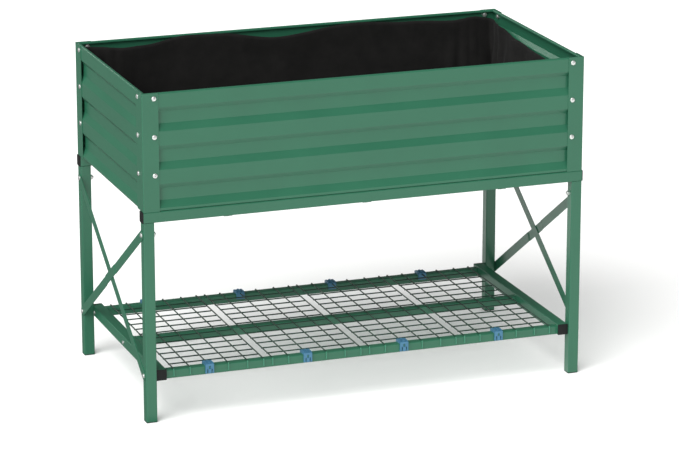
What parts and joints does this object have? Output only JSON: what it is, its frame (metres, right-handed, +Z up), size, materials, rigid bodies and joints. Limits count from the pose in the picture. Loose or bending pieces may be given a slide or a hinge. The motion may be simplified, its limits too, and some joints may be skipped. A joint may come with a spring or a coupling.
{
  "type": "raised planter on legs",
  "caption": "Rectangular raised garden bed of corrugated sheet steel with a fabric liner, on square tube legs with crossed end braces and a low wire shelf.",
  "frame": {"origin": "on the floor under the middle of the planter", "axes": "+X along the long side to the right, +Y to the back, +Z up"},
  "size_m": [1.0654, 0.5456, 0.762],
  "materials": {
    "green_sheet_steel": "satin powder coat with a fine texture",
    "green_steel_tube": "satin powder coat",
    "green_strap": "satin powder coat",
    "green_wire": "satin powder coat",
    "zinc_fasteners": "bright zinc plating",
    "black_plastic": "smooth moulded plastic",
    "blue_plastic": "smooth moulded plastic",
    "black_felt": "matt non-woven felt"
  },
  "bodies": {
    "root": {"leg_front_left": "green_steel_tube", "leg_front_right": "green_steel_tube", "leg_back_left": "green_steel_tube", "leg_back_right": "green_steel_tube", "foot_plug_front_left": "black_plastic", "foot_plug_front_right": "black_plastic", "foot_plug_back_left": "black_plastic", "foot_plug_back_right": "black_plastic", "leg_top_inserts": "zinc_fasteners", "bed_rail_front": "green_steel_tube", "bed_rail_back": "green_steel_tube", "bed_rail_plug_front_left": "black_plastic", "bed_rail_plug_front_right": "black_plastic", "bed_rail_plug_back_left": "black_plastic", "bed_rail_plug_back_right": "black_plastic", "leg_top_bolts": "zinc_fasteners", "cross_bar_left": "green_steel_tube", "cross_bar_middle": "green_steel_tube", "cross_bar_right": "green_steel_tube", "cross_bar_screws": "zinc_fasteners", "bed_floor_left": "green_sheet_steel", "bed_floor_right": "green_sheet_steel", "panel_front": "green_sheet_steel", "panel_back": "green_sheet_steel", "panel_left": "green_sheet_steel", "panel_right": "green_sheet_steel", "corner_post_front_left": "green_sheet_steel", "corner_post_front_right": "green_sheet_steel", "corner_post_back_left": "green_sheet_steel", "corner_post_back_right": "green_sheet_steel", "corner_bolts": "zinc_fasteners", "corner_nuts": "zinc_fasteners", "liner": "black_felt", "brace_left_inner": "green_strap", "brace_left_outer": "green_strap", "brace_right_inner": "green_strap", "brace_right_outer": "green_strap", "brace_upper_bolts": "zinc_fasteners", "brace_upper_nuts": "zinc_fasteners", "brace_lower_bolts": "zinc_fasteners", "shelf_side_rail_left": "green_steel_tube", "shelf_side_rail_right": "green_steel_tube", "shelf_rivet_nuts": "zinc_fasteners", "shelf_plug_front_left": "black_plastic", "shelf_plug_front_right": "black_plastic", "shelf_plug_back_left": "black_plastic", "shelf_plug_back_right": "black_plastic", "shelf_rail_front": "green_steel_tube", "shelf_rail_back": "green_steel_tube", "shelf_centre_beam": "green_steel_tube", "shelf_rail_inserts": "zinc_fasteners", "shelf_rail_screws": "zinc_fasteners", "shelf_mesh_1": "green_wire", "shelf_mesh_2": "green_wire", "shelf_mesh_3": "green_wire", "shelf_mesh_4": "green_wire", "mesh_clips": "blue_plastic"}
  },
  "joints": []
}
